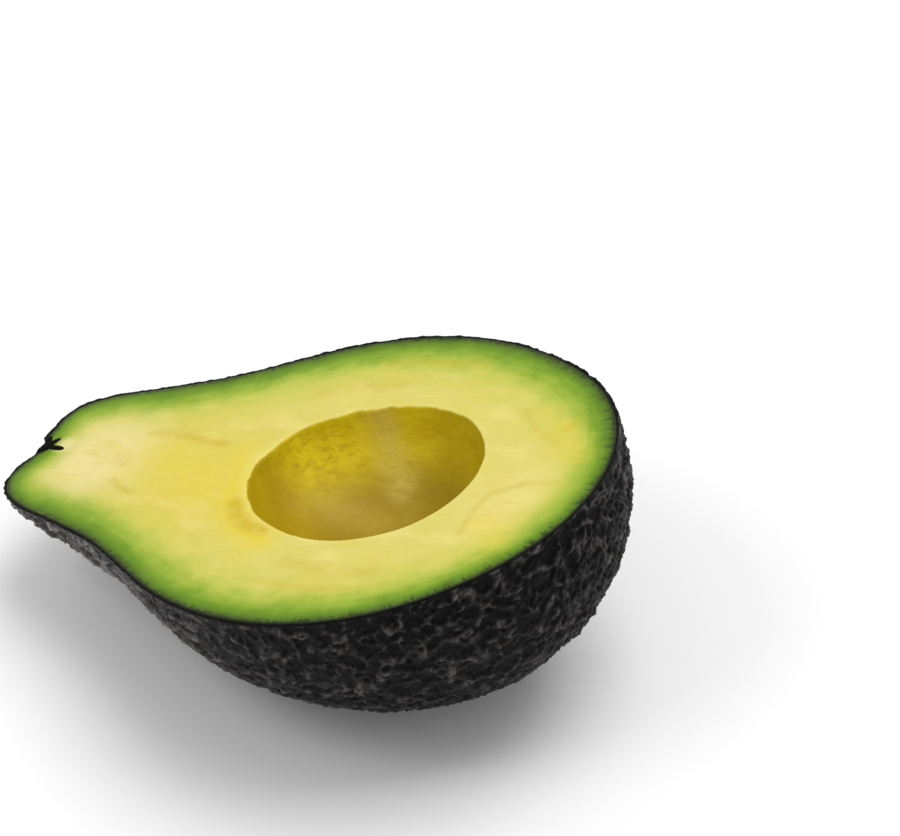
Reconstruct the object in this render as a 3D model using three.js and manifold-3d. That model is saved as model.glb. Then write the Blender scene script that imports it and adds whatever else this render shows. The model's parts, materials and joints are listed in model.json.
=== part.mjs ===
// An avocado half, cut lengthways, with its stone taken out, lying on its back. Millimetres, +Z up.
//
// It is drawn in the fruit's own frame: the cut is the plane z = 0, x runs from the stem end to the
// blossom end, y runs across, and the back hangs below the cut. The finished group is then tipped the
// way the half balances on its back, and its origin is the bottom centre of its box.
//
// Three pieces: the flesh with the hollow that the stone left, the thin skin around its back, and the
// cut stub of the stem in the dimple at the narrow end.
import * as THREE from "three";
import { mergeVertices } from "three/addons/utils/BufferGeometryUtils.js";
import Module from "manifold-3d";

// The fruit
const FRUIT_LENGTH = 109.5; // stem end to blossom end
const BELLY_WIDTH = 69.5; // across the cut face at its widest
const BELLY_AT = 66; // stem end to the widest place
const NECK_WIDTH = 27.4; // across the shoulders at the stem end
const SHOULDER_AT = 5.2; // stem end to the shoulders
const BACK_DEPTH = 36.2; // cut face to the back below the widest place
const STEM_END_ROUNDNESS = 0.76; // the back's depth over the half width, at the stem end
const BLOSSOM_END_ROUNDNESS = 1.14; // the same at the blossom end
const NECK_LEAN = 1.6; // how far the neck stands to one side of the belly's middle line
const BLOSSOM_LEAN = 1.2; // how far the blossom end stands to the other side
const DIMPLE_DEPTH = 2.2; // how far the stem's dimple sinks into the stem end
const DIMPLE_WIDTH = 12; // across the dimple's lip
const NECK_ENDS = 0.45; // the share of the length over which the neck's lean dies out
const NECK_FILLS_OUT = 0.55; // the share of the way to the belly over which the back grows as round
const BLOSSOM_STARTS = 0.75; // the share of the length where the blossom end starts to stand aside
const SKIN_THICKNESS = 0.8;

// The hollow of the stone, an egg whose blunt end points to the blossom end
const HOLLOW_AT = 68.5; // stem end to the hollow's widest place
const HOLLOW_ASIDE = 1; // from the belly's middle line to the hollow's
const HOLLOW_WIDTH = 32;
const HOLLOW_DEPTH = 15.5;
const HOLLOW_NARROW_END = 22.6; // widest place to the end nearest the stem
const HOLLOW_BLUNT_END = 18.6; // widest place to the end nearest the blossom end

// The stub of the stem
const STEM_DIAMETER = 3.2;
const STEM_IN = 4; // how deep it reaches below the dimple's floor
const STEM_OUT = 1.2; // how far it stands out of the dimple's floor
const STEM_FLARE = 1.15; // the outer end's width over the stem's
const STEM_TAPER = 0.45; // the inner end's width over the stem's

// How the pieces meet, and how the half lies
const CLEARANCE = 0.3; // gap between pieces that touch
const STEM_DOWN_DEGREES = 14; // the cut face tips down towards the stem end
const SIDE_DOWN_DEGREES = 3.6; // and down towards -Y, the side that the neck leans to
const FLAT_SPOT = 0.3; // how far the soft fruit gives where it lies

// Fineness of the surfaces
const STATIONS = 46; // sections along the fruit
const END_CROWDING = 0.65; // 0 for even stations, near 1 for many at the two ends
const SECTION_STEPS = 26; // steps around each half section
const HOLLOW_STEPS = 40; // steps around the hollow
const STEM_STEPS = 20; // steps around the stem
const SAME_PLACE = 1e-4; // vertices nearer than this are one

const wasm = await Module();
wasm.setup();

// One side of the skin's outline on the cut face, as [x, half width], from the floor of the dimple to the
// blossom end: the dimple and shoulder, the hollow flank and full belly, and a round blossom end.
function outlineSide() {
  const neck = NECK_WIDTH / 2;
  const belly = BELLY_WIDTH / 2;
  const flank = (along, out) => [
    SHOULDER_AT + along * (BELLY_AT - SHOULDER_AT),
    neck + out * (belly - neck),
  ];
  const stemEnd = [
    [DIMPLE_DEPTH, 0],
    [0.62 * DIMPLE_DEPTH, 0.18 * DIMPLE_WIDTH],
    [0, 0.5 * DIMPLE_WIDTH],
    [0.2 * SHOULDER_AT, 0.76 * neck],
    [SHOULDER_AT, neck],
  ];
  const flanks = [
    flank(0.21, 0.2),
    flank(0.36, 0.35),
    flank(0.51, 0.57),
    flank(0.66, 0.79),
    flank(0.81, 0.93),
    [BELLY_AT, belly],
  ];
  const blossomEnd = [0.16, 0.32, 0.47, 0.62, 0.76, 0.89, 1].map((share) => {
    const angle = (share * Math.PI) / 2;
    const beyond = FRUIT_LENGTH - BELLY_AT;
    return [BELLY_AT + beyond * Math.sin(angle), belly * Math.cos(angle)];
  });
  return [...stemEnd, ...flanks, ...blossomEnd];
}

// The middle line of the cut face: the neck leans to -Y and the blossom end to +Y.
function middleAt(x) {
  const { smoothstep } = THREE.MathUtils;
  const neckShare = 1 - smoothstep(x, 0, NECK_ENDS * FRUIT_LENGTH);
  const blossomShare = smoothstep(x, BLOSSOM_STARTS * FRUIT_LENGTH, FRUIT_LENGTH);
  return BLOSSOM_LEAN * blossomShare - NECK_LEAN * neckShare;
}

// The back's depth over the half width, at x.
function roundnessAt(x) {
  const belly = (2 * BACK_DEPTH) / BELLY_WIDTH;
  const { lerp, smoothstep } = THREE.MathUtils;
  return x < BELLY_AT
    ? lerp(STEM_END_ROUNDNESS, belly, smoothstep(x, 0, NECK_FILLS_OUT * BELLY_AT))
    : lerp(belly, BLOSSOM_END_ROUNDNESS, smoothstep(x, BELLY_AT, FRUIT_LENGTH));
}

const side = new THREE.CatmullRomCurve3(
  outlineSide().map(([x, half]) => new THREE.Vector3(x, half, 0)),
  false,
  "centripetal",
);

// The point of the skin's outer surface at t along the fruit and at an angle around its back.
function surfacePoint(t, angle) {
  const { x, y: half } = side.getPointAt(t);
  return new THREE.Vector3(
    x,
    middleAt(x) + half * Math.cos(angle),
    -roundnessAt(x) * half * Math.sin(angle),
  );
}

// The outward normal there. It lies in the cut at the rim, and runs along the fruit at its two ends.
function surfaceNormal(t, angle) {
  const step = 1e-3;
  const inside = THREE.MathUtils.clamp(t, 2 * step, 1 - 2 * step);
  const along = surfacePoint(inside + step, angle).sub(surfacePoint(inside - step, angle));
  const around = surfacePoint(inside, angle + step).sub(surfacePoint(inside, angle - step));
  if (t === 0 || t === 1) return new THREE.Vector3(t === 0 ? -1 : 1, 0, 0);
  const normal = along.cross(around).normalize();
  if (angle === 0 || angle === Math.PI) normal.setZ(0).normalize();
  return normal;
}

// Where station i lies along the side, from 0 to 1.
function stationAt(i) {
  const turn = (2 * Math.PI * i) / STATIONS;
  return i === STATIONS ? 1 : i / STATIONS - (END_CROWDING * Math.sin(turn)) / (2 * Math.PI);
}

// A grid of points on the surface that lies inset under the skin's outer one: rows along the fruit,
// columns around it.
function backGrid(inset) {
  return Array.from({ length: STATIONS + 1 }, (_, i) =>
    Array.from({ length: SECTION_STEPS + 1 }, (_, j) => {
      const t = stationAt(i);
      const angle = (j / SECTION_STEPS) * Math.PI;
      return surfacePoint(t, angle).addScaledVector(surfaceNormal(t, angle), -inset);
    }),
  );
}

// A triangle list as a solid, with the vertices that share a place merged.
function solidFrom(geometry) {
  const bare = geometry.index ? geometry.toNonIndexed() : geometry.clone();
  bare.deleteAttribute("normal");
  bare.deleteAttribute("uv");
  const merged = mergeVertices(bare, SAME_PLACE);
  return new wasm.Manifold(
    new wasm.Mesh({
      numProp: 3,
      vertProperties: merged.attributes.position.array,
      triVerts: new Uint32Array(merged.index.array),
    }),
  );
}

// A solid as a geometry with flat faces.
function geometryFrom(solid) {
  const { vertProperties, triVerts } = solid.getMesh();
  const geometry = new THREE.BufferGeometry();
  geometry.setAttribute("position", new THREE.BufferAttribute(vertProperties, 3));
  geometry.setIndex(new THREE.BufferAttribute(triVerts, 1));
  const faceted = geometry.toNonIndexed();
  faceted.computeVertexNormals();
  return faceted;
}

// The two triangles of the quad a, b, c, d, without those that have shrunk to a line.
function quad(list, a, b, c, d) {
  for (const [p, q, r] of [[a, b, c], [a, c, d]]) {
    const shortest = Math.min(p.distanceTo(q), q.distanceTo(r), r.distanceTo(p));
    if (shortest > SAME_PLACE) list.push(p, q, r);
  }
}

// The triangles of a grid, facing away from the fruit's middle, or towards it if turned.
function gridFaces(list, grid, turned) {
  for (let i = 0; i < STATIONS; i++) {
    for (let j = 0; j < SECTION_STEPS; j++) {
      const corners = [grid[i][j], grid[i + 1][j], grid[i + 1][j + 1], grid[i][j + 1]];
      quad(list, ...(turned ? corners.reverse() : corners));
    }
  }
}

function solidFromPoints(list) {
  return solidFrom(new THREE.BufferGeometry().setFromPoints(list));
}

// The face of the cut inside a loop of points that lie in it, facing up.
function cutFace(list, loop) {
  const contour = loop.map((point) => new THREE.Vector2(point.x, point.y));
  for (const corners of THREE.ShapeUtils.triangulateShape(contour, [])) {
    const facesDown = THREE.ShapeUtils.isClockWise(corners.map((corner) => contour[corner]));
    const [a, b, c] = facesDown ? corners.reverse() : corners;
    list.push(loop[a], loop[b], loop[c]);
  }
}

// The half as one solid, inset under the skin's outer surface and closed by the cut.
function halfSolid(inset) {
  const grid = backGrid(inset);
  const list = [];
  gridFaces(list, grid, false);
  const oneSide = grid.map((row) => row[0]);
  const otherSide = grid.slice(1, STATIONS).map((row) => row[SECTION_STEPS]);
  cutFace(list, [...oneSide, ...otherSide.reverse()]);
  return solidFromPoints(list);
}

// The skin as one solid: its outer and inner surfaces, joined by a rim that lies in the cut.
function skinSolid() {
  const outer = backGrid(0);
  const inner = backGrid(SKIN_THICKNESS);
  const list = [];
  gridFaces(list, outer, false);
  gridFaces(list, inner, true);
  const last = SECTION_STEPS;
  for (let i = 0; i < STATIONS; i++) {
    quad(list, inner[i][0], inner[i + 1][0], outer[i + 1][0], outer[i][0]);
    quad(list, outer[i][last], outer[i + 1][last], inner[i + 1][last], inner[i][last]);
  }
  return solidFromPoints(list);
}

// A block that reaches past the fruit on every side, with its lower face at the height bottom.
function blockAbove(bottom) {
  const size = 4 * FRUIT_LENGTH;
  return new THREE.BoxGeometry(size, size, size).translate(0, 0, bottom + size / 2);
}

// The egg that the stone filled, whole, with its middle on the cut.
function stoneSolid() {
  const egg = new THREE.SphereGeometry(1, HOLLOW_STEPS, HOLLOW_STEPS / 2);
  egg.rotateZ(Math.PI / 2);
  const place = egg.attributes.position;
  for (let i = 0; i < place.count; i++) {
    const x = place.getX(i);
    place.setXYZ(
      i,
      HOLLOW_AT + x * (x < 0 ? HOLLOW_NARROW_END : HOLLOW_BLUNT_END),
      HOLLOW_ASIDE + (place.getY(i) * HOLLOW_WIDTH) / 2,
      place.getZ(i) * HOLLOW_DEPTH,
    );
  }
  return solidFrom(egg);
}

// The round stem, whole, grown by a gap on every side. It flares where it stands out and tapers to its
// inner end.
function stemSolid(gap) {
  const radius = STEM_DIAMETER / 2;
  const outEnd = -STEM_OUT - gap;
  const profile = [
    [0, outEnd],
    [STEM_FLARE * radius + gap, outEnd],
    [radius + gap, 0],
    [2 * STEM_TAPER * radius + gap, 0.55 * STEM_IN],
    [STEM_TAPER * radius + gap, STEM_IN + gap],
    [0, STEM_IN + gap],
  ].map(([across, along]) => new THREE.Vector2(across, along));
  const lathe = new THREE.LatheGeometry(profile, STEM_STEPS);
  lathe.rotateZ(-Math.PI / 2);
  lathe.translate(DIMPLE_DEPTH, middleAt(DIMPLE_DEPTH), 0);
  return solidFrom(lathe);
}

// The turn from the fruit's frame to the way it lies.
const { degToRad } = THREE.MathUtils;
const lying = new THREE.Euler(degToRad(SIDE_DOWN_DEGREES), degToRad(-STEM_DOWN_DEGREES), 0, "YXZ");
const toLying = new THREE.Matrix4().makeRotationFromEuler(lying);

// The lowest height that a solid, drawn in the fruit's frame, reaches once it lies down.
function lowestLying(solid) {
  const box = new THREE.Box3();
  const place = geometryFrom(solid).attributes.position;
  for (let i = 0; i < place.count; i++) {
    box.expandByPoint(new THREE.Vector3().fromBufferAttribute(place, i).applyMatrix4(toLying));
  }
  return box.min.z;
}

// A solid without what lies lower than the flat spot.
function restFlat(solid) {
  const above = blockAbove(lowestLying(solid) + FLAT_SPOT);
  return solid.intersect(solidFrom(above.applyMatrix4(toLying.clone().invert())));
}

const stemSocket = stemSolid(CLEARANCE);
const aboveCut = solidFrom(blockAbove(0));
const solids = {
  flesh: halfSolid(SKIN_THICKNESS + CLEARANCE).subtract(stoneSolid()).subtract(stemSocket),
  skin: restFlat(skinSolid().subtract(stemSocket)),
  stem_stub: stemSolid(0).subtract(aboveCut),
};

const materials = {
  flesh: new THREE.MeshStandardMaterial({ color: 0xe0d873, roughness: 0.45, metalness: 0 }),
  skin: new THREE.MeshStandardMaterial({ color: 0x242322, roughness: 0.6, metalness: 0 }),
  stem_stub: new THREE.MeshStandardMaterial({ color: 0x1f1a12, roughness: 0.85, metalness: 0 }),
};

const avocadoHalf = new THREE.Group();
for (const [name, solid] of Object.entries(solids)) {
  const mesh = new THREE.Mesh(geometryFrom(solid), materials[name]);
  mesh.name = name;
  avocadoHalf.add(mesh);
}

// Laid down, with the bottom centre of its box at the origin.
avocadoHalf.setRotationFromEuler(lying);
const box = new THREE.Box3().setFromObject(avocadoHalf, true);
const middle = box.getCenter(new THREE.Vector3());
avocadoHalf.position.set(-middle.x, -middle.y, -box.min.z);

export default avocadoHalf;
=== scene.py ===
"""An avocado half on a pale floor: moist flesh with the hollow of its stone, a pebbled skin and a
dry stem stub.

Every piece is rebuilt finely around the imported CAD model. Lengths are in millimetres until a mesh
is made, which is in metres. "The fruit's frame" has x along the cut face from the stem end to the
blossom end, y across the cut face and z out of it. Its origin is the middle of the stone's hollow,
in the cut.
"""

import json
import math

import bpy
import numpy as np
from mathutils import Matrix, Vector, noise
from mathutils.bvhtree import BVHTree


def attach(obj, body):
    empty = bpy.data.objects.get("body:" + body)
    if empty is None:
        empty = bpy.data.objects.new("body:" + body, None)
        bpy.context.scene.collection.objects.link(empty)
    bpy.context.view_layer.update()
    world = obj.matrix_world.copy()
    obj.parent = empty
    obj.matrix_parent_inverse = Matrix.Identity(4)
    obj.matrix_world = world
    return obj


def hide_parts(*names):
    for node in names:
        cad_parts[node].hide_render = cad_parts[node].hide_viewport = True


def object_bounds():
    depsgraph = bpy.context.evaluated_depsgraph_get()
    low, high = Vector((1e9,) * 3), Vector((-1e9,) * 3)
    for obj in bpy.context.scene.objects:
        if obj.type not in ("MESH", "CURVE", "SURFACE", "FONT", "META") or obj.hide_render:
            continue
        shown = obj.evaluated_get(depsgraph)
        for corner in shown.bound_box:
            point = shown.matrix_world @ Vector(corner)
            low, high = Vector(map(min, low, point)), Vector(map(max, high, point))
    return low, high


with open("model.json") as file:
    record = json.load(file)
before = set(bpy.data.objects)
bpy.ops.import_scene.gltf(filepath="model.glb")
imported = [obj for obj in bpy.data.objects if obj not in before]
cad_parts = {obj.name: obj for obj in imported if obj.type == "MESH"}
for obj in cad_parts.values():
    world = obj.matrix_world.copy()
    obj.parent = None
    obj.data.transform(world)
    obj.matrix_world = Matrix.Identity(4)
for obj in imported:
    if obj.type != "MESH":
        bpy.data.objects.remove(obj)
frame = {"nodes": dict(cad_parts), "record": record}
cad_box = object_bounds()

MM = 0.001
NOISE_SEED = 1795126353

noise.seed_set(NOISE_SEED)  # without a seed, noise_vector gives other warts on each run

# --------------------------------------------------------------------------------------
# The camera
# --------------------------------------------------------------------------------------

CAMERA_AZIMUTH = 37.4  # degrees; 0 looks along +Y
CAMERA_ELEVATION = 38.3
CAMERA_ROLL = -7.3
CAMERA_DISTANCE = 609.0  # from the point that it looks at
SENSOR_WIDTH = 36
CAMERA_LENS = 157.5
CAMERA_CLIP = (0.05, 20)  # in metres
LOOKS_AT = (13.8, 20.4, 33.3)  # above and behind the half, which so lies low and left in view


def make_camera():
    """The camera, turned by azimuth and elevation, then rolled about its line of sight."""
    azimuth, elevation = math.radians(CAMERA_AZIMUTH), math.radians(CAMERA_ELEVATION)
    level = math.cos(elevation)
    back = Vector((math.sin(azimuth) * level, -math.cos(azimuth) * level, math.sin(elevation)))
    camera = bpy.data.objects.new("camera", bpy.data.cameras.new("camera"))
    bpy.context.scene.collection.objects.link(camera)
    turn = (-back).to_track_quat("-Z", "Y").to_matrix().to_4x4()
    roll = Matrix.Rotation(math.radians(CAMERA_ROLL), 4, "Z")
    place = (Vector(LOOKS_AT) + back * CAMERA_DISTANCE) * MM
    camera.matrix_world = Matrix.Translation(place) @ turn @ roll
    camera.data.lens = CAMERA_LENS
    camera.data.sensor_width = SENSOR_WIDTH
    camera.data.clip_start, camera.data.clip_end = CAMERA_CLIP
    bpy.context.scene.camera = camera


make_camera()

# --------------------------------------------------------------------------------------
# The fruit's frame, and the CAD surfaces in it
# --------------------------------------------------------------------------------------

IN_CUT = 0.02  # how far off the cut a vertex in it may lie
NEAR_OUTLINE = 0.08  # a share of the fruit's length

cut = next(mount for mount in frame["record"]["mounts"] if mount["name"] == "cut_face")
cut_point = np.array(cut["pos_m"]) / MM
out_of_cut = Vector(cut["axis"]).normalized()
along_fruit = Vector((0, 1, 0)).cross(out_of_cut).normalized()
across_fruit = out_of_cut.cross(along_fruit)
FRUIT_AXES = np.array([along_fruit, across_fruit, out_of_cut])


def cad_points(node):
    """A CAD node's vertices in the row frame."""
    mesh = frame["nodes"][node].data
    points = np.empty(3 * len(mesh.vertices))
    mesh.vertices.foreach_get("co", points)
    return points.reshape(-1, 3) / MM


def points_in_cut(node):
    """The x and y of a CAD node's vertices that lie in the cut, from the cut_face mount."""
    local = (cad_points(node) - cut_point) @ FRUIT_AXES.T
    return local[np.abs(local[:, 2]) < IN_CUT, :2]


def hollow_rim():
    """The vertices around the hollow: the flesh's in the cut, away from its outline."""
    outline = points_in_cut("skin")
    inside = [
        point
        for point in points_in_cut("flesh")
        if np.hypot(*(outline - point).T).min() > NEAR_OUTLINE * np.ptp(outline[:, 0])
    ]
    return np.array(inside)


def middle_of(points):
    """The middle of an egg's rim: halfway across it, at its widest place."""
    x, y = points.T
    return np.array([x[np.argmax(y)], (y.min() + y.max()) / 2])


HOLLOW_MIDDLE = middle_of(hollow_rim())
ORIGIN = cut_point + HOLLOW_MIDDLE @ FRUIT_AXES[:2]


def to_row(points):
    return points @ FRUIT_AXES + ORIGIN


def to_fruit(points):
    return (points - ORIGIN) @ FRUIT_AXES.T


def tree_of(node):
    """A search tree of a CAD node's faces, in the fruit's frame."""
    faces = [tuple(polygon.vertices) for polygon in frame["nodes"][node].data.polygons]
    return BVHTree.FromPolygons([Vector(point) for point in to_fruit(cad_points(node))], faces)


skin_tree = tree_of("skin")
flesh_tree = tree_of("flesh")
stem_box = to_fruit(cad_points("stem_stub"))
STEM_MIDDLE = (stem_box.min(0) + stem_box.max(0))[:2] / 2
FAR = 200.0  # well outside the fruit, from anywhere in it


# --------------------------------------------------------------------------------------
# Numbers on grids
# --------------------------------------------------------------------------------------


def blur(values, width, wrap=False):
    """A Gaussian blur along the first axis, reflected at the ends or wrapped round."""
    span = int(3 * width) + 1
    weights = np.exp(-0.5 * (np.arange(-span, span + 1) / width) ** 2)
    weights /= weights.sum()
    pad = [(span, span)] + [(0, 0)] * (values.ndim - 1)
    padded = np.pad(values, pad, mode="wrap" if wrap else "reflect")
    return sum(weight * padded[i : i + len(values)] for i, weight in enumerate(weights))


def smoothstep(low, high, values):
    share = np.clip((values - low) / (high - low), 0, 1)
    return share * share * (3 - 2 * share)


def cast(tree, start, way):
    """How far the first face lies from start, or not a number if there is none."""
    hit = tree.ray_cast(Vector(start), Vector(way))
    return hit[3] if hit[0] is not None else math.nan


def fill_gaps(values, wrap=False):
    """Fills the places that no ray found, along the first axis, from the places beside them."""
    filled = values.copy()
    place = np.arange(len(values))
    period = len(values) if wrap else None
    for column in filled.reshape(len(values), -1).T:
        good = np.isfinite(column)
        column[~good] = np.interp(place[~good], place[good], column[good], period=period)
    return filled


def soft_noise(points, scale, seed):
    """Smooth noise from -1 to 1 at each point. Scale is the size of its lumps."""
    shift = Vector((17.3 * seed, 5.1 * seed, -9.7 * seed))
    return np.array([noise.noise(Vector(point) / scale + shift) for point in points])


# --------------------------------------------------------------------------------------
# The back of the fruit, on a grid of rows from the stem end to the blossom end and of columns
# from rim to rim
# --------------------------------------------------------------------------------------

HUB = np.array([-8.5, -1.0, 0.0])  # every place of the back is in sight from here
BACK_STEP = 0.425  # between neighbours on the back
SOCKET_REACH = 0.05  # radians off the stem's line, where the socket opens the CAD skin
COARSE_ROWS = 361
COARSE_COLUMNS = 91
JUST_INSIDE = 0.01  # radians under the cut, where a ray still meets the CAD skin
BACK_RADIUS = 0.32  # across the fruit, as a share of its length; it sets the number of columns
SMOOTH_ALONG = 1.0  # millimetres
SMOOTH_AROUND = 0.035  # a share of the columns


def ways(from_stem_end, around):
    """Unit vectors from the hub, for angles off the stem end's direction and around the back."""
    a, t = np.meshgrid(from_stem_end, around, indexing="ij")
    return np.stack([-np.cos(a), np.sin(a) * np.cos(t), -np.sin(a) * np.sin(t)], axis=-1)


def back_reach():
    """The distance from the hub to the outside of the CAD skin, on a coarse grid of angles."""
    from_stem_end = np.linspace(0, math.pi, COARSE_ROWS)
    around = np.linspace(0, math.pi, COARSE_COLUMNS)
    directions = ways(from_stem_end, np.clip(around, JUST_INSIDE, math.pi - JUST_INSIDE))
    reach = np.empty(directions.shape[:2])
    for i, j in np.ndindex(*reach.shape):
        way = directions[i, j]
        reach[i, j] = FAR - cast(skin_tree, HUB + FAR * way, -way)
    reach[from_stem_end < SOCKET_REACH] = math.nan
    return from_stem_end, around, fill_gaps(reach)


def back_grid():
    """The smooth outside of the back: points and outward normals on a grid of even steps."""
    from_stem_end, around, reach = back_reach()
    rim = HUB + ways(from_stem_end, [0.0])[:, 0] * reach[:, :1]
    steps = np.linalg.norm(np.diff(rim, axis=0), axis=1)
    gone = np.concatenate([[0], np.cumsum(steps)])
    rows = int(gone[-1] / BACK_STEP)
    columns = int(math.pi * BACK_RADIUS * np.ptp(rim[:, 0]) / BACK_STEP)
    fine_from = np.interp(np.linspace(0, gone[-1], rows + 1), gone, from_stem_end)
    fine_around = np.linspace(0, math.pi, columns + 1)
    by_row = np.array([np.interp(fine_from, from_stem_end, column) for column in reach.T]).T
    fine = np.array([np.interp(fine_around, around, row) for row in by_row])
    fine = blur(fine, SMOOTH_ALONG / BACK_STEP)
    fine = blur(fine.T, SMOOTH_AROUND * columns).T
    fine[0], fine[-1] = fine[0].mean(), fine[-1].mean()
    points = HUB + ways(fine_from, fine_around) * fine[..., None]
    return points, grid_normals(points)


def grid_normals(points):
    """Outward normals of the back's grid: in the cut at the rims, along the fruit at the ends."""
    normals = np.cross(np.gradient(points, axis=0), np.gradient(points, axis=1))
    normals[:, [0, -1], 2] = 0
    normals[0], normals[-1] = (-1, 0, 0), (1, 0, 0)
    normals /= np.linalg.norm(normals, axis=-1, keepdims=True)
    half_way = len(points) // 2
    outward = np.sign(np.sum(normals[half_way] * (points[half_way] - HUB)))
    normals[1:-1] *= outward
    return normals


# --------------------------------------------------------------------------------------
# Meshes
# --------------------------------------------------------------------------------------


class Builder:
    """Collects grids of points into one closed mesh."""

    def __init__(self):
        self.points = []
        self.faces = []
        self.values = {}
        self.count = 0

    def add(self, points, **values):
        """Adds an array of points and their values, and returns their numbers, arranged alike."""
        flat = points.reshape(-1, 3)
        numbers = np.arange(self.count, self.count + len(flat)).reshape(points.shape[:-1])
        self.points.append(flat)
        for name, value in values.items():
            self.values.setdefault(name, []).append(value.reshape(len(flat), -1))
        self.count += len(flat)
        return numbers

    def quads(self, numbers):
        """Joins neighbours in a grid of point numbers. A face whose corners meet loses them."""
        around = (numbers[:-1, :-1], numbers[1:, :-1], numbers[1:, 1:], numbers[:-1, 1:])
        corners = np.stack(around, axis=-1)
        for face in corners.reshape(-1, 4).tolist():
            kept = list(dict.fromkeys(face))
            if len(kept) > 2:
                self.faces.append(kept)

    def add_closed(self, grid, **values):
        """Adds a grid whose columns go all the way round, with one point for each end row."""
        numbers = self.add(grid, **values)
        join_ends(numbers)
        self.quads(np.concatenate([numbers, numbers[:, :1]], axis=1))

    def make(self, name, material):
        """The collected mesh as an object in the row frame, in metres, smooth and facing out."""
        mesh = bpy.data.meshes.new(name)
        points = to_row(np.concatenate(self.points))
        points[:, 2] = np.maximum(points[:, 2], cad_box[0][2] / MM)
        mesh.from_pydata(points * MM, [], self.faces)
        for key, chunks in self.values.items():
            value = np.concatenate(chunks).astype(np.float32)
            kind = "FLOAT" if value.shape[1] == 1 else "FLOAT_VECTOR"
            attribute = mesh.attributes.new(key, kind, "POINT")
            attribute.data.foreach_set("value" if kind == "FLOAT" else "vector", value.ravel())
        mesh.polygons.foreach_set("use_smooth", np.ones(len(mesh.polygons), bool))
        mesh.update()
        if volume_of(mesh) < 0:
            mesh.flip_normals()
        mesh.materials.append(material)
        piece = bpy.data.objects.new(name, mesh)
        bpy.context.scene.collection.objects.link(piece)
        return piece


def volume_of(mesh):
    """The signed volume inside a mesh."""
    mesh.calc_loop_triangles()
    corners = np.empty(3 * len(mesh.loop_triangles), np.int32)
    mesh.loop_triangles.foreach_get("vertices", corners)
    points = np.empty(3 * len(mesh.vertices), np.float32)
    mesh.vertices.foreach_get("co", points)
    a, b, c = points.reshape(-1, 3)[corners.reshape(-1, 3)].transpose(1, 0, 2)
    return float(np.sum(a * np.cross(b, c)) / 6)


def join_ends(numbers):
    """Makes the first and the last row of a grid one point each, as at two poles."""
    for row in (0, -1):
        numbers[row] = numbers[row].flat[0]


# --------------------------------------------------------------------------------------
# The skin
# --------------------------------------------------------------------------------------

SKIN_THICKNESS = 0.55  # at the cut
SKIN_DEEP = 1.1  # from the mean outside to the inside, away from the cut, below every furrow
SKIN_TURN = 3.0  # how far below the cut the skin has its whole thickness and its whole relief
INSIDE_COLUMNS = 41
WART_SIZE = 2.6  # each height below is from its lowest to its highest
WART_HEIGHT = 0.5
WART_MEAN = 0.42  # the share of the height that lies below the mean surface
WRINKLE_SIZE = 2.3
WRINKLE_HEIGHT = 0.45
WRINKLE_WIDTH = 0.17
WRINKLE_STRETCH = 0.7  # of x, so that wrinkles run along the fruit
FINE_SIZE = 1.1
FINE_HEIGHT = 0.18
FINE_WIDTH = 0.25
RIDGE_MEAN = 0.6
SWELL_SIZE = 8.0
SWELL_HEIGHT = 0.5
LOWEST_FURROW = -0.7
BENDS = ((1.2, 2.4), (0.4, 0.9))  # how far the warts are pushed about, and over what distance
RAISED_SHARES = (0.25, 0.42, 0.33)  # what warts, wrinkles and the fine grain add to the tone, which paints highlights on the raised places


def ridged(place, size, width):
    """Noise with rounded crests, from 0 in the furrows to 1 on the crests."""
    return math.exp(-((noise.noise(place / size + Vector((9.0, 4.0, 2.0))) / width) ** 2))


def skin_relief(point):
    """The height of the warty skin over its mean surface, and how raised the point looks, which
    sets its painted highlight.
    """
    place = Vector(point)
    bent = place
    for reach, size in BENDS:
        bent = bent + reach * noise.noise_vector(place / size)
    distances, centres = noise.voronoi(bent / WART_SIZE)
    lot = 0.5 + 0.5 * noise.cell(centres[0] * 7.31)  # each wart has its own height
    wart = min((distances[1] - distances[0]) / 0.7, 1.0) ** 0.7 * (0.45 + 0.55 * lot)
    along_wrinkles = Vector((bent[0] * WRINKLE_STRETCH, bent[1], bent[2]))
    wrinkle = ridged(along_wrinkles, WRINKLE_SIZE, WRINKLE_WIDTH)
    fine = ridged(place, FINE_SIZE, FINE_WIDTH)
    swell = 0.5 * noise.noise(place / SWELL_SIZE)
    height = WART_HEIGHT * (wart - WART_MEAN) + WRINKLE_HEIGHT * (wrinkle - RIDGE_MEAN)
    height += FINE_HEIGHT * (fine - RIDGE_MEAN) + SWELL_HEIGHT * swell
    of_wart, of_wrinkle, of_fine = RAISED_SHARES
    return max(height, LOWEST_FURROW), of_wart * wart + of_wrinkle * wrinkle + of_fine * fine


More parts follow.
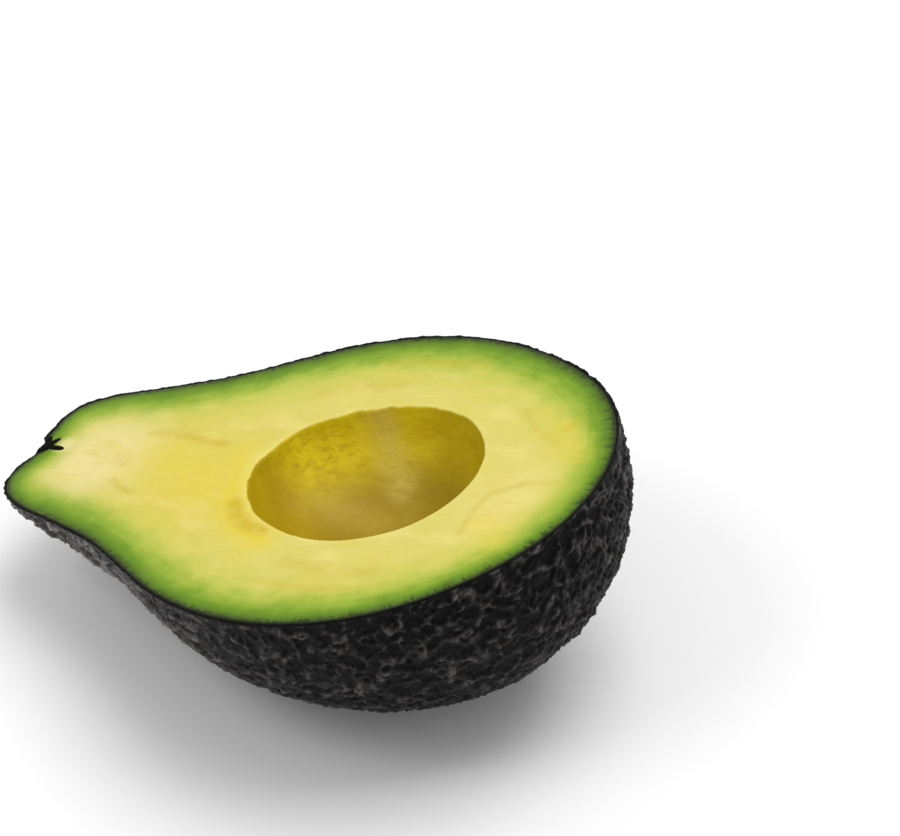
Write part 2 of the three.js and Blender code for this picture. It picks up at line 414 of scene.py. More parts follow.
def make_skin(points, normals, material):
    """The skin: a warty outside, a smooth inside, and the cut edge that joins them."""
    flat = points.reshape(-1, 3)
    pebbles = np.array([skin_relief(point) for point in flat]).reshape(*points.shape[:2], 2)
    height, up = pebbles[..., 0], pebbles[..., 1]
    height[0], height[-1] = height[0].mean(), height[-1].mean()
    off_cut = smoothstep(0, SKIN_TURN, -points[..., 2])
    height *= 0.5 + 0.5 * off_cut  # the cut trims the warts beside it
    outside = points + normals * height[..., None]
    sparse = np.linspace(0, points.shape[1] - 1, INSIDE_COLUMNS).astype(int)
    thickness = SKIN_THICKNESS + (SKIN_DEEP - SKIN_THICKNESS) * off_cut
    inside = (points - thickness[..., None] * normals)[:, sparse]
    at_rim = np.zeros(points.shape[:2])
    at_rim[:, [0, -1]] = 1
    plain = inside.shape[:2]
    builder = Builder()
    out = builder.add(outside, raised=up, edge=at_rim, fruit=outside)
    back = builder.add(inside, raised=np.zeros(plain), edge=np.ones(plain), fruit=inside)
    join_ends(out)
    join_ends(back)
    builder.quads(out)
    builder.quads(back[:, ::-1])
    builder.quads(np.stack([back[:, 0], out[:, 0]], axis=1))
    builder.quads(np.stack([out[:, -1], back[:, -1]], axis=1))
    return builder.make("skin_pebbled", material), inside


# --------------------------------------------------------------------------------------
# The flesh
# --------------------------------------------------------------------------------------

SPOKES = 540  # around the hollow's middle
HOLLOW_RINGS = 48
FACE_RINGS = 92
UNDER_RINGS = 24
LIP = 0.45  # how far the hollow's edge is rounded, on each side of it
UNDER_SKIN = 0.15  # how far the flesh reaches under the skin's cut edge
UNDER_DEPTH = 1.3  # from the outside of the skin to the underside of the flesh
HOLLOW_EVERY = 6  # a ray is cast along each sixth spoke in the hollow
UNDER_EVERY = 12
LIP_HOLLOW = (1.0, 0.75, 0.15)  # how much the lip's first rings look like the hollow's wall
TORN_WAY = 140  # degrees, where the hollow's edge is torn most
TUCK_SLOPE = 0.5  # how steeply the flesh dips under the skin's cut edge
SPOKE_ANGLES = np.linspace(0, 2 * math.pi, SPOKES, endpoint=False)
SPOKE_WAYS = np.stack([np.cos(SPOKE_ANGLES), np.sin(SPOKE_ANGLES)], axis=1)


def polar(loop):
    """The distance from the origin to a loop of points in the cut, along each spoke."""
    angles = np.arctan2(loop[:, 1], loop[:, 0])
    order = np.argsort(angles)
    return np.interp(SPOKE_ANGLES, angles[order], np.hypot(*loop.T)[order], period=2 * math.pi)


def smooth_hollow_rim():
    """The edge of the CAD hollow along each spoke, without its facets."""
    return blur(polar(hollow_rim() - HOLLOW_MIDDLE), SPOKES / 70, wrap=True)


def hollow_edge(smooth):
    """The hollow's edge along each spoke: the CAD egg with the small nicks that the stone left."""
    ring = np.column_stack([SPOKE_WAYS * smooth[:, None], np.zeros(SPOKES)])
    torn = smoothstep(-0.2, 0.9, np.cos(SPOKE_ANGLES - math.radians(TORN_WAY)))
    wander = 0.2 * soft_noise(ring, 7.0, 1) + 0.08 * soft_noise(ring, 2.2, 2)
    nicks = torn * (0.6 * soft_noise(ring, 3.4, 3) + 0.18 * soft_noise(ring, 1.1, 4))
    return smooth + wander + nicks


def hollow_points(smooth, edge):
    """Rings of points from the bottom of the hollow up to just below its edge."""
    top = math.pi / 2 - LIP / smooth.mean()
    slopes = np.linspace(0, top, HOLLOW_RINGS + 1)
    rings = np.empty((HOLLOW_RINGS + 1, SPOKES, 3))
    rings[..., :2] = SPOKE_WAYS[None] * np.sin(slopes)[:, None, None]
    rings[..., 2] = -np.cos(slopes)[:, None]
    few = rings[:, ::HOLLOW_EVERY]
    reach = np.array([[cast(flesh_tree, (0, 0, 0), way) for way in ring] for ring in few])
    reach = fill_gaps(reach.T, wrap=True).T
    place = np.arange(SPOKES)
    known = place[::HOLLOW_EVERY]
    reach = np.array([np.interp(place, known, ring, period=SPOKES) for ring in reach])
    reach = blur(blur(reach, 2.0).T, SPOKES / 60, wrap=True).T
    reach[0] = reach[0].mean()
    reach *= 1 + (edge / smooth - 1)[None] * np.sin(slopes)[:, None] ** 40
    points = rings * reach[..., None]
    spots = points.reshape(-1, 3)
    dents = 0.16 * soft_noise(spots, 6.5, 5) + 0.05 * soft_noise(spots, 1.7, 6)
    fade = 1 - np.sin(slopes)[:, None] ** 8
    return points * (1 + dents.reshape(reach.shape)[..., None] * fade[..., None] / reach[..., None])


def lip_points(below, edge):
    """The rounded edge between the hollow and the cut face."""
    corner = np.column_stack([SPOKE_WAYS * edge[:, None], np.zeros(SPOKES)])
    outside = np.column_stack([SPOKE_WAYS * (edge + LIP)[:, None], np.zeros(SPOKES)])
    shares = np.linspace(0, 1, 7)[1:, None, None]
    return (1 - shares) ** 2 * below + 2 * shares * (1 - shares) * corner + shares**2 * outside


def distance_to(loop, points):
    """The distance in the cut from each point to a loop."""
    flat = points.reshape(-1, points.shape[-1])[:, :2]
    found = [
        np.hypot(*(loop[None] - part[:, None]).transpose(2, 0, 1)).min(1)
        for part in np.array_split(flat, 80)  # in parts, to save memory
    ]
    return np.concatenate(found).reshape(points.shape[:-1])


def face_points(edge, outline):
    """The cut face between the hollow's lip and the skin, with the slight waves of a knife cut."""
    shares = 1 - (1 - np.linspace(0, 1, FACE_RINGS + 1)[1:]) ** 1.35
    start = edge + LIP
    reach = start[None] + shares[:, None] * (outline - start)[None]
    flat = SPOKE_WAYS[None] * reach[..., None]
    points = np.concatenate([flat, np.zeros(reach.shape + (1,))], axis=-1)
    spots = points.reshape(-1, 3)
    stretched = spots * (0.45, 1.0, 1.0)
    waves = 0.13 * soft_noise(spots, 13.0, 7) + 0.05 * soft_noise(stretched, 2.6, 8)
    waves += 0.015 * soft_noise(spots, 0.8, 9)
    fade = smoothstep(0, 0.12, shares) * (1 - smoothstep(0.9, 1, shares))
    points[..., 2] = waves.reshape(reach.shape) * fade[:, None]
    points[..., 2] -= TUCK_SLOPE * np.maximum(reach - (outline - UNDER_SKIN), 0)
    return points


def under_points():
    """The underside of the flesh: the outside of the CAD skin, moved in to clear the skin."""
    downs = np.linspace(0, math.pi / 2, UNDER_RINGS + 2)[1:]
    few = SPOKE_WAYS[::UNDER_EVERY]
    points = np.empty((len(downs), len(few), 3))
    for i, down in enumerate(downs):
        for j, (x, y) in enumerate(few):
            way = Vector((x * math.cos(down), y * math.cos(down), -math.sin(down)))
            place, normal, _, _ = skin_tree.ray_cast(way * FAR, -way)
            points[i, j] = place - normal * math.copysign(UNDER_DEPTH, normal.dot(way))
    turns = np.arange(SPOKES)
    known = turns[::UNDER_EVERY]
    columns = points.transpose(1, 0, 2).reshape(len(few), -1).T
    fine = np.array([np.interp(turns, known, column, period=SPOKES) for column in columns]).T
    fine = blur(fine, SPOKES / 90, wrap=True).reshape(SPOKES, len(downs), 3)
    fine = fine.transpose(1, 0, 2).copy()
    fine[-1] = fine[-1].mean(0)
    return fine


# Strokes of colour, each a line of points, its width and its strength. The brown and the yellow
# ones lie on the cut face and are the flesh's own marks. The pale ones are painted sheen and the
# deep ones painted shade, on the wall of the hollow.
BROWN_STROKES = (
    (((-20.3, -10.2), (-17.8, -13.0), (-14.9, -14.9), (-10.9, -15.7)), 1.3, 0.75),
    (((-47.5, 3.5), (-40.0, 3.4), (-31.5, 2.6)), 0.8, 0.5),
    (((-43.5, 4.3), (-40.0, 4.1)), 1.3, 0.35),
    (((-46.8, -8.6), (-44.6, -9.9), (-41.5, -10.8)), 0.6, 0.5),
    (((-50.0, -3.3), (-47.8, -4.2)), 1.1, 0.35),
    (((24.0, -11.5), (23.0, -5.5), (23.5, -2.5), (26.0, -0.5), (28.5, 1.0)), 0.6, 0.4),
    (((28.5, 1.0), (34.0, 2.0)), 0.6, 0.25),
    (((18.0, 17.0), (22.5, 13.0)), 0.7, 0.3),
    (((25.0, 12.0), (27.5, 10.5)), 1.0, 0.3),
    (((27.5, 14.0), (28.5, 15.5)), 0.9, 0.4),
    (((-2.0, -21.6), (6.0, -22.4), (14.0, -21.6)), 1.4, 0.35),
    (((-4.0, -26.4), (6.0, -26.8), (14.0, -25.4)), 0.8, 0.3),
    (((-22.0, 16.5), (-15.0, 19.0), (-8.0, 20.4)), 1.2, 0.3),
    (((-14.0, 25.4), (-6.0, 26.6), (4.0, 27.0)), 1.0, 0.35),
)
# Painted sheen on the hollow's wall: a pale band where a light's reflection would lie, and a paler
# left wall where the light falls.
SHEEN_STROKES = (
    (((-9.2, 15.2), (-8.6, 12.8), (-6.0, 10.0)), 2.7, 0.7),
    (((-6.0, 10.0), (-3.0, 6.5)), 2.7, 0.2),
    (((-13.0, 3.0), (-7.0, 4.0)), 3.0, 0.25),
)
# Painted shade on the hollow's wall: its right side, turned from the light and under the rim, and
# its lower-left side.
SHADE_STROKES = (
    (((3.0, 13.5), (8.0, 12.5), (13.5, 9.5), (18.5, 4.0)), 4.0, 0.45),
    (((-20.5, -1.0), (-18.0, -6.0), (-13.0, -10.0)), 4.2, 0.85),
)
YELLOW_STROKES = (
    (((-23.5, -5.0), (-21.6, -10.0), (-17.0, -14.6), (-10.0, -17.6)), 3.2, 0.9),
    (((-24.5, -3.6), (-27.0, 1.0)), 3.0, 0.7),
    (((-40.0, -2.0), (-27.0, -7.0)), 7.0, 0.6),
    (((26.0, -8.0), (31.0, -12.0)), 2.5, 0.4),
    (((27.0, 14.0), (33.0, 8.0)), 2.5, 0.4),
)


def strokes_at(points, strokes):
    """How strongly the strokes colour each point, from 0 to 1."""
    flat = points.reshape(-1, 3)[:, :2]
    strength = np.zeros(len(flat))
    for line, width, most in strokes:
        for start, end in zip(np.array(line[:-1]), np.array(line[1:])):
            span = end - start
            share = np.clip((flat - start) @ span / (span @ span), 0, 1)
            away = np.hypot(*(flat - start - share[:, None] * span).T)
            strength = np.maximum(strength, most * np.exp(-((away / width) ** 2)))
    return strength.reshape(points.shape[:-1])


def make_flesh(inside_skin, material):
    """The flesh: the hollow, its lip, the cut face and the underside, as one closed mesh."""
    rim = np.concatenate([inside_skin[:, 0], inside_skin[::-1, -1]])[:, :2]
    rim_reach = polar(rim)
    outline = rim_reach + UNDER_SKIN
    smooth = smooth_hollow_rim()
    edge = hollow_edge(smooth)
    hollow = hollow_points(smooth, edge)
    lip = lip_points(hollow[-1], edge)
    face = face_points(edge, outline)
    grid = np.concatenate([hollow, lip, face, under_points()])
    top = slice(len(hollow) + len(lip) + len(face))
    from_middle_squared = grid[top, :, 0] ** 2 + grid[top, :, 1] ** 2
    rim_distance = np.zeros(grid.shape[:2])
    rim_distance[top] = distance_to(SPOKE_WAYS * rim_reach[:, None], grid[top])
    rim_distance[top][from_middle_squared > (rim_reach**2)[None]] = 0
    in_hollow = np.zeros(grid.shape[:2])
    in_hollow[: len(hollow)] = 1
    in_hollow[len(hollow) : len(hollow) + len(LIP_HOLLOW)] = np.array(LIP_HOLLOW)[:, None]
    from_middle = np.hypot(grid[..., 0], grid[..., 1])
    across = np.clip((from_middle - edge) / (outline - edge), 0, 1)
    way_x, way_y = (np.broadcast_to(way, across.shape) for way in SPOKE_WAYS.T)
    on_wall = in_hollow > 0.5
    builder = Builder()
    builder.add_closed(
        grid,
        rim=rim_distance,
        hollow=in_hollow,
        flow=np.stack([way_x, way_y, across], axis=-1),
        fruit=grid,
        # On the wall of the hollow these two are painted shade and painted sheen; on the cut face
        # they are the flesh's own brown and yellow marks.
        darker=np.where(on_wall, strokes_at(grid, SHADE_STROKES), strokes_at(grid, BROWN_STROKES)),
        lighter=np.where(on_wall, strokes_at(grid, SHEEN_STROKES), strokes_at(grid, YELLOW_STROKES)),
    )
    return builder.make("flesh_cut", material)


# --------------------------------------------------------------------------------------
# The stem stub
# --------------------------------------------------------------------------------------

STUB_SPOKES = 200
STUB_RINGS = 30
STUB_BODY = 1.1  # its radius between the prongs
STUB_PRONGS = (  # angle, length, width
    (-2, 2.9, 15),
    (62, 1.5, 19),
    (116, 1.8, 18),
    (-117, 0.8, 28),
)
STUB_OFFSET = (-1.2, 0.1)  # from the middle of the CAD stub, where its prongs meet
STUB_PROUD = 0.3  # how far it stands out of the cut
STUB_DEEP = 1.6
PRONG_TAPER = 1.6  # how far out of the body a prong loses most of its height


def make_stem(material):
    """The dry end of the stem, split into prongs where it enters the flesh."""
    angles = np.linspace(0, 2 * math.pi, STUB_SPOKES, endpoint=False)
    outward = np.column_stack([np.cos(angles), np.sin(angles)])
    reach = np.full(STUB_SPOKES, STUB_BODY)
    for angle, length, width in STUB_PRONGS:
        turned = angles - math.radians(angle)
        off = np.degrees(np.arctan2(np.sin(turned), np.cos(turned)))
        reach += length * np.exp(-((off / width) ** 2))
    ring = np.column_stack([outward, np.zeros(STUB_SPOKES)]) * reach[:, None]
    reach += 0.16 * soft_noise(ring, 0.5, 11)
    rows = np.arange(2 * STUB_RINGS + 1)
    shares = np.sin(np.linspace(0, math.pi, len(rows)))
    dome = np.sqrt(np.clip(1 - shares**2, 0, 1))
    height = np.where(rows <= STUB_RINGS, STUB_PROUD, -STUB_DEEP)[:, None] * dome[:, None]
    body = np.exp(-((np.maximum(reach - STUB_BODY, 0) / PRONG_TAPER) ** 2))[None]
    height = height * (0.45 + 0.55 * body ** shares[:, None])
    middle = STEM_MIDDLE + STUB_OFFSET
    flat = middle + shares[:, None, None] * (reach[:, None] * outward)[None]
    grid = np.concatenate([flat, np.broadcast_to(height, flat.shape[:2])[..., None]], axis=-1)
    rough = soft_noise(grid.reshape(-1, 3), 0.35, 12).reshape(flat.shape[:2])
    grid[..., 2] += 0.1 * rough * (shares[:, None] > 0)
    grid[0, :, 2], grid[-1, :, 2] = grid[0, 0, 2], grid[-1, 0, 2]
    builder = Builder()
    builder.add_closed(grid)
    return builder.make("stem_prongs", material)


# --------------------------------------------------------------------------------------
# Materials
# --------------------------------------------------------------------------------------


def linear(red, green, blue):
    """A display colour from 0 to 255 as a linear colour."""
    return tuple(
        (value / 255 / 12.92 if value <= 10 else ((value / 255 + 0.055) / 1.055) ** 2.4)
        for value in (red, green, blue)
    ) + (1.0,)


class Shader:
    """A node material, and short ways to add the nodes that these materials need."""

    def __init__(self, name, **inputs):
        self.material = bpy.data.materials.new(name)
        self.material.use_nodes = True
        self.tree = self.material.node_tree
        self.shader = self.tree.nodes["Principled BSDF"]
        for key, value in inputs.items():
            self.shader.inputs[key.replace("_", " ")].default_value = value

    def node(self, kind, settings=None, **inputs):
        made = self.tree.nodes.new(kind)
        for key, value in (settings or {}).items():
            setattr(made, key, value)
        for key, value in inputs.items():
            numbered = key[0] == "i" and key[1:].isdigit()
            socket = made.inputs[int(key[1:]) if numbered else key.replace("_", " ")]
            self.feed(socket, value)
        return made

    def feed(self, socket, value):
        if isinstance(value, bpy.types.NodeSocket):
            self.tree.links.new(value, socket)
        else:
            socket.default_value = value

    def attribute(self, name, output="Fac"):
        return self.node("ShaderNodeAttribute", {"attribute_name": name}).outputs[output]

    def math(self, operation, a, b):
        return self.node("ShaderNodeMath", {"operation": operation}, i0=a, i1=b).outputs[0]

    def plus(self, a, b):
        return self.math("ADD", a, b)

    def times(self, a, b):
        return self.math("MULTIPLY", a, b)

    def about_zero(self, share, span):
        """A share from 0 to 1 as a number from -span / 2 to span / 2."""
        return self.times(self.math("SUBTRACT", share, 0.5), span)

    def between(self, value, low, high, to_low=0.0, to_high=1.0):
        """A smooth step from to_low to to_high, while the value goes from low to high."""
        ends = {"From_Min": low, "From_Max": high, "To_Min": to_low, "To_Max": to_high}
        step = {"interpolation_type": "SMOOTHSTEP"}
        return self.node("ShaderNodeMapRange", step, Value=value, **ends).outputs[0]

    def near(self, vector, point, low, high, to_low, to_high=0.0):
        """A smooth step with the distance from a point."""
        apart = self.node("ShaderNodeVectorMath", {"operation": "DISTANCE"}, i0=vector, i1=point)
        return self.between(apart.outputs["Value"], low, high, to_low, to_high)

    def parts(self, vector):
        """The x, y and z of a vector."""
        return self.node("ShaderNodeSeparateXYZ", Vector=vector).outputs

    def scaled(self, vector, scale):
        mapping = {"vector_type": "POINT"}
        return self.node("ShaderNodeMapping", mapping, Vector=vector, Scale=scale).outputs[0]

    def noise(self, vector, scale, detail=2.0, rough=0.5, distortion=0.0):
        inputs = {"Scale": scale, "Detail": detail, "Roughness": rough, "Distortion": distortion}
        return self.node("ShaderNodeTexNoise", Vector=vector, **inputs).outputs["Fac"]

    def fruit_noise(self, vector, scale, detail=2.0, rough=0.5, distortion=0.0):
        """Noise on a vector that is scaled by its own amount along each axis."""
        return self.noise(self.scaled(vector, scale), 1.0, detail, rough, distortion)

    def ramp(self, value, stops):
        made = self.node("ShaderNodeValToRGB", Fac=value)
        elements = made.color_ramp.elements
        while len(elements) < len(stops):
            elements.new(0.5)
        for element, (place, colour) in zip(elements, stops):
            element.position = place
            element.color = colour
        return made.outputs["Color"]

    def mix(self, share, a, b):
        made = self.node("ShaderNodeMix", {"data_type": "RGBA"})
        self.feed(made.inputs["Factor"], share)
        self.feed(made.inputs[6], a)
        self.feed(made.inputs[7], b)
        return made.outputs[2]

    def bump(self, height, strength, distance, below=None):
        inputs = {"Height": height, "Strength": strength, "Distance": distance}
        made = self.node("ShaderNodeBump", **inputs)
        if below is not None:
            self.feed(made.inputs["Normal"], below)
        return made.outputs[0]

    def set(self, **links):
        for key, socket in links.items():
            self.tree.links.new(socket, self.shader.inputs[key.replace("_", " ")])
        return self.material


TONE_SPAN = 1.3  # the skin's greatest tone, at a raised place on the neck, where painted highlight and painted sheen add up
NECK_SHEEN = 0.36  # painted sheen: how much greyer the neck is than the belly, standing in for light grazing its underside
NECK_SHEEN_FROM_TO = (12.0, -42.0)  # along the fruit, where the painted sheen begins and where it is whole
# The lowest stops are the skin's own near-black; the upper stops are painted highlights on the
# raised places.
SKIN_TONES_AND_GLINTS = [
    (0.2, linear(5, 5, 5)),
    (0.34, linear(17, 16, 16)),
    (0.5, linear(46, 44, 43)),
    (0.66, linear(80, 78, 77)),
    (1.0, linear(152, 150, 148)),
]
SKIN_CUT = linear(9, 11, 3)


def skin_material():
    """Near-black and leathery, with painted light: grey painted highlights on the raised places and
    a grey painted sheen towards the neck.
    """
    s = Shader("skin", Specular_IOR_Level=0.07)
    place = s.node("ShaderNodeTexCoord").outputs["Object"]
    patches = s.noise(place, 170.0, 3.0)
    fine = s.noise(place, 1500.0, 4.0, 0.65)
    tone = s.plus(s.attribute("raised"), s.about_zero(patches, 0.6))
    tone = s.plus(tone, s.about_zero(fine, 0.35))
    along = s.parts(s.attribute("fruit", "Vector"))[0]
    # painted sheen, greyer towards the neck
    tone = s.plus(tone, s.between(along, *NECK_SHEEN_FROM_TO, 0.0, NECK_SHEEN))
    colour = s.ramp(s.math("DIVIDE", tone, TONE_SPAN), SKIN_TONES_AND_GLINTS)
    colour = s.mix(s.between(s.attribute("edge"), 0.1, 0.7), colour, SKIN_CUT)
    worn = s.plus(s.times(patches, 0.5), s.times(fine, 0.5))
    rough = s.between(worn, 0.3, 0.7, 0.34, 0.6)
    return s.set(Base_Color=colour, Roughness=rough, Normal=s.bump(fine, 0.6, 0.00025))


RIM_SPAN = 16.0  # how far the colours of the rim reach into the flesh
RIM_COLOURS = [
    (0.0, linear(48, 66, 14)),
    (0.05, linear(78, 108, 16)),
    (0.1, linear(96, 134, 20)),
    (0.16, linear(114, 150, 28)),
    (0.25, linear(145, 172, 48)),
    (0.375, linear(178, 189, 72)),
    (0.5, linear(200, 198, 86)),
    (0.8, linear(214, 204, 104)),
]
THIN_GREEN = (39.0, -4.0, 0.0)  # at the blossom end, where the green is thinnest
YELLOW_MIDDLE = (-28.0, -6.0, 0.0)
CREAM_MIDDLE = (-54.0, -4.0, 0.0)  # in the neck
BLOSSOM_MIDDLE = (27.0, -2.0, 0.0)
BY_STUB = (2.3, 1.1)  # the pale flesh between the stub's prongs, from the stub's middle
YELLOW = linear(216, 198, 76)
NECK_CREAM = linear(234, 218, 154)
BLOSSOM_CREAM = linear(226, 211, 128)
PALE_CLOUD = linear(228, 214, 124)
DEEP_CLOUD = linear(217, 200, 88)
FIBRE = linear(212, 196, 88)
STREAK = linear(212, 196, 90)
STUB_CREAM = linear(236, 220, 150)
YELLOW_MARK = linear(225, 203, 62)
BROWN_MARK = linear(198, 168, 14)
# painted highlight along the hollow's lip
LIP_HIGHLIGHT = linear(236, 222, 128)
TICK = linear(40, 54, 14)
RAGGED = linear(30, 36, 8)
COAT_COLOURS = [
    (0.3, linear(206, 182, 14)),
    (0.5, linear(219, 199, 22)),
    (0.7, linear(224, 206, 36)),
]
# browner towards the hollow's bottom: partly the coat's colour, partly painted shade in the deepest
# part
BOTTOM_BROWN_AND_SHADE = linear(154, 128, 6)
# painted shade on the hollow's wall
SHADE_MARK = linear(158, 130, 4)
PIT = linear(166, 138, 6)
# painted sheen on the hollow's wall
SHEEN_MARK = linear(214, 192, 92)
PITTED_PLACE = (-17.0, 6.0, -4.5)  # on the wall of the hollow


class FleshShader(Shader):
    """The flesh: green under the skin, paling through yellow to cream, with an ochre hollow."""

    def __init__(self):
        super().__init__(
            "flesh",
            Specular_IOR_Level=0.2,
            Subsurface_Weight=0.07,
            Subsurface_Radius=(1.0, 0.8, 0.3),
            Subsurface_Scale=0.0015,
        )
        self.fruit = self.attribute("fruit", "Vector")
        self.flow = self.attribute("flow", "Vector")
        self.rim = self.attribute("rim")
        self.darker = self.attribute("darker")
        self.lighter = self.attribute("lighter")
        self.along, self.aside, self.up = self.parts(self.fruit)
        self.streaks = self.fruit_noise(self.flow, (3.0, 3.0, 24.0), 5.0, 0.65)
        self.fibres = self.fruit_noise(self.fruit, (0.14, 1.1, 1.0), 4.0, 0.6, 0.4)
        broken = self.fruit_noise(self.fruit, (0.45, 0.7, 1.0), 3.0, 0.6)
        # breaks up the yellow marks on the cut face and the painted sheen on the wall
        self.yellow_and_sheen_broken = self.between(broken, 0.3, 0.6, 0.6, 1.0)
        self.brown_broken = self.between(broken, 0.36, 0.6, 0.6, 1.0)

    def rim_colour(self):
        """The green under the skin, deepest on the far side and thin at the blossom end."""
        wander = self.fruit_noise(self.fruit, (0.22, 0.22, 0.22), 4.0, 0.6)
        far_side = self.between(self.aside, -30.0, 30.0, 1.06, 0.92)
        stem_side = self.between(self.along, -66.0, -50.0, 1.2, 1.0)
        blossom_side = self.near(self.fruit, THIN_GREEN, 4.0, 32.0, 1.25, 1.0)
        depth = self.times(self.times(self.rim, far_side), self.times(stem_side, blossom_side))
        uneven = self.plus(self.about_zero(wander, 6.0), self.about_zero(self.streaks, 3.5))
        uneven = self.times(uneven, self.between(self.rim, 0.0, 6.0, 0.15, 1.0))
        return self.ramp(self.math("DIVIDE", self.plus(depth, uneven), RIM_SPAN), RIM_COLOURS)

    def face_colour(self):
        """The cut face: soft patches of yellow and cream, clouds, fibres, streaks and marks, and a
        painted highlight along the hollow's lip.
        """
        inner = self.between(self.rim, 5.0, 10.0)
        clouds = self.fruit_noise(self.fruit, (0.1, 0.2, 0.2), 3.0, 0.5)
        yellow = self.near(self.fruit, YELLOW_MIDDLE, 3.0, 22.0, 0.85)
        yellow = self.times(yellow, self.between(clouds, 0.35, 0.65, 0.5, 1.0))
        neck = self.near(self.fruit, CREAM_MIDDLE, 2.0, 16.0, 0.9)
        blossom = self.near(self.fruit, BLOSSOM_MIDDLE, 3.0, 13.0, 0.6)
        by_stub = (*(STEM_MIDDLE + BY_STUB), 0.0)
        tints = (
            (self.times(yellow, inner), YELLOW),
            (self.times(neck, self.between(self.rim, 3.0, 8.0)), NECK_CREAM),
            (self.times(blossom, inner), BLOSSOM_CREAM),
            (self.times(self.between(clouds, 0.5, 0.68, 0.0, 0.6), inner), PALE_CLOUD),
            (self.times(self.between(clouds, 0.5, 0.34, 0.0, 0.5), inner), DEEP_CLOUD),
            (self.times(self.between(self.fibres, 0.52, 0.75, 0.0, 0.5), inner), FIBRE),
            (self.times(self.between(self.streaks, 0.55, 0.75, 0.0, 0.3), inner), STREAK),
            (self.near(self.fruit, by_stub, 0.5, 3.0, 0.8), STUB_CREAM),
            (self.times(self.lighter, self.yellow_and_sheen_broken), YELLOW_MARK),
            (self.times(self.darker, self.brown_broken), BROWN_MARK),
            # painted highlight: a pale line along the hollow's edge
            (self.between(self.parts(self.flow)[2], 0.0, 0.06, 0.3, 0.0), LIP_HIGHLIGHT),
        )
        return self.tinted(self.rim_colour(), tints)

    def tinted(self, colour, tints):
        """Lays tints over a colour, each a share and a colour."""
        for share, tint in tints:
            colour = self.mix(share, colour, tint)
        return colour

    def furrowed(self, colour):
        """The skin's furrows reach into the first millimetre, as fine lines and torn places."""
        ticks = self.fruit_noise(self.flow, (60.0, 60.0, 5.0), 3.0, 0.65)
        blossom_end = self.between(self.along, -10.0, 30.0, 0.9, 2.0)
        reach = self.between(self.math("DIVIDE", self.rim, blossom_end), 0.2, 1.3, 0.85, 0.0)
        ticks = self.times(self.between(ticks, 0.48, 0.64), reach)
        ragged = self.fruit_noise(self.fruit, (1.1, 1.1, 1.1), 3.0, 0.6)
        ragged = self.math("DIVIDE", self.rim, self.between(ragged, 0.42, 0.7, 0.35, 1.6))
        ragged = self.times(self.between(ragged, 0.0, 1.0, 1.0, 0.0), 0.85)
        return self.tinted(colour, ((ticks, TICK), (ragged, RAGGED)))

    def wall_colour(self):
        """The wall of the hollow, with the print of the stone's coat, a browner bottom that is
        partly painted shade, painted shade on two sides and a painted sheen.
        """
        coat = self.fruit_noise(self.fruit, (0.16, 0.42, 0.42), 4.0, 0.55, 0.8)
        pits = self.fruit_noise(self.fruit, (0.55, 0.6, 1.3), 2.0, 0.5)
        pitted = self.near(self.fruit, PITTED_PLACE, 3.0, 9.0, 0.45)
        tints = (
            # browner towards the bottom: partly the coat's colour, partly painted shade in the
            # recess
            (self.between(self.up, -6.0, -13.0, 0.0, 1.0), BOTTOM_BROWN_AND_SHADE),
            # painted shade on the wall
            (self.darker, SHADE_MARK),
            (self.times(self.between(pits, 0.44, 0.68), pitted), PIT),
            # painted sheen on the wall
            (self.times(self.lighter, self.yellow_and_sheen_broken), SHEEN_MARK),
        )
        return self.tinted(self.ramp(coat, COAT_COLOURS), tints)

    def finish(self):
        body = self.furrowed(self.face_colour())
        colour = self.mix(self.attribute("hollow"), body, self.wall_colour())
        wet = self.fruit_noise(self.fruit, (0.5, 0.5, 0.5), 3.0)
        grain = self.fruit_noise(self.fruit, (1.6, 2.6, 2.6), 4.0, 0.65)
        bumped = self.bump(grain, 0.3, 0.0003, self.bump(self.fibres, 0.3, 0.0004))
        rough = self.between(wet, 0.3, 0.7, 0.38, 0.55)
        return self.set(Base_Color=colour, Roughness=rough, Normal=bumped)


STEM_COLOURS = [(0.3, linear(6, 5, 3)), (0.6, linear(16, 14, 9)), (0.85, linear(44, 40, 30))]


def stem_material():
    """Dry, fibrous and almost black."""
    s = Shader("stem", Specular_IOR_Level=0.08, Roughness=0.8)
    place = s.node("ShaderNodeTexCoord").outputs["Object"]
    grain = s.fruit_noise(place, (900.0, 3500.0, 3500.0), 4.0, 0.65)
    return s.set(Base_Color=s.ramp(grain, STEM_COLOURS), Normal=s.bump(grain, 0.5, 0.0002))


# --------------------------------------------------------------------------------------
# The floor and the light
# --------------------------------------------------------------------------------------


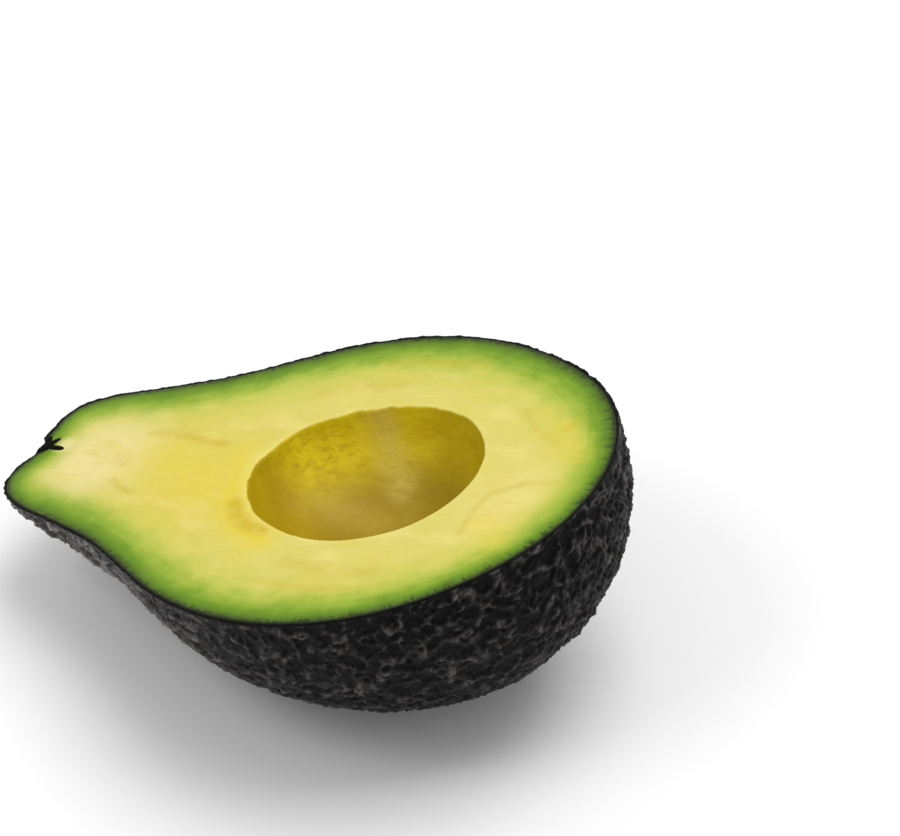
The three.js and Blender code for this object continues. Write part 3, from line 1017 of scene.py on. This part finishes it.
FLOOR_HALF = 3.0  # metres
FLOOR_WHITE = 0.95
KEY_LIGHT = ((0.3, 0.26, 1.1), (0.75, 0.75), 7.2)  # place, size in metres, and watts
GLINTS_LIGHT = ((-0.3, -0.5, 0.9), (0.4, 0.4), 1.6)
ROOM_STRENGTH = 0.6


def make_floor():
    mesh = bpy.data.meshes.new("floor")
    low = cad_box[0][2]
    signs = ((-1, -1), (1, -1), (1, 1), (-1, 1))
    corners = [(x * FLOOR_HALF, y * FLOOR_HALF, low) for x, y in signs]
    mesh.from_pydata(corners, [], [(0, 1, 2, 3)])
    floor = bpy.data.objects.new("floor", mesh)
    bpy.context.scene.collection.objects.link(floor)
    shader = Shader("floor", Roughness=0.9, Specular_IOR_Level=0.15)
    shader.shader.inputs["Base Color"].default_value = (FLOOR_WHITE,) * 3 + (1,)
    mesh.materials.append(shader.material)


def area_light(name, place, size, power, aim=(0, 0, 0.02)):
    light = bpy.data.lights.new(name, "AREA")
    light.shape = "RECTANGLE"
    light.size, light.size_y = size
    light.energy = power
    lamp = bpy.data.objects.new(name, light)
    lamp.location = place
    lamp.rotation_euler = (Vector(aim) - Vector(place)).to_track_quat("-Z", "Y").to_euler()
    bpy.context.scene.collection.objects.link(lamp)


def make_light():
    """A wide soft light from above and behind, a small one in front for glints, and a pale room."""
    area_light("key", *KEY_LIGHT)
    area_light("glints", *GLINTS_LIGHT)
    world = bpy.data.worlds.new("room")
    world.use_nodes = True
    background = world.node_tree.nodes["Background"]
    background.inputs["Color"].default_value = (1, 1, 1, 1)
    background.inputs["Strength"].default_value = ROOM_STRENGTH
    scene = bpy.context.scene
    scene.world = world
    scene.view_settings.view_transform = "Standard"
    scene.view_settings.look = "None"


# --------------------------------------------------------------------------------------
# The pieces
# --------------------------------------------------------------------------------------


def place(piece, node, slot):
    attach(piece, "root")
    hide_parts(node)


back, back_normals = back_grid()
skin, skin_inside = make_skin(back, back_normals, skin_material())
flesh = make_flesh(skin_inside, FleshShader().finish())
stem = make_stem(stem_material())
place(skin, "skin", "skin")
place(flesh, "flesh", "flesh")
place(stem, "stem_stub", "stem")
make_floor()
make_light()
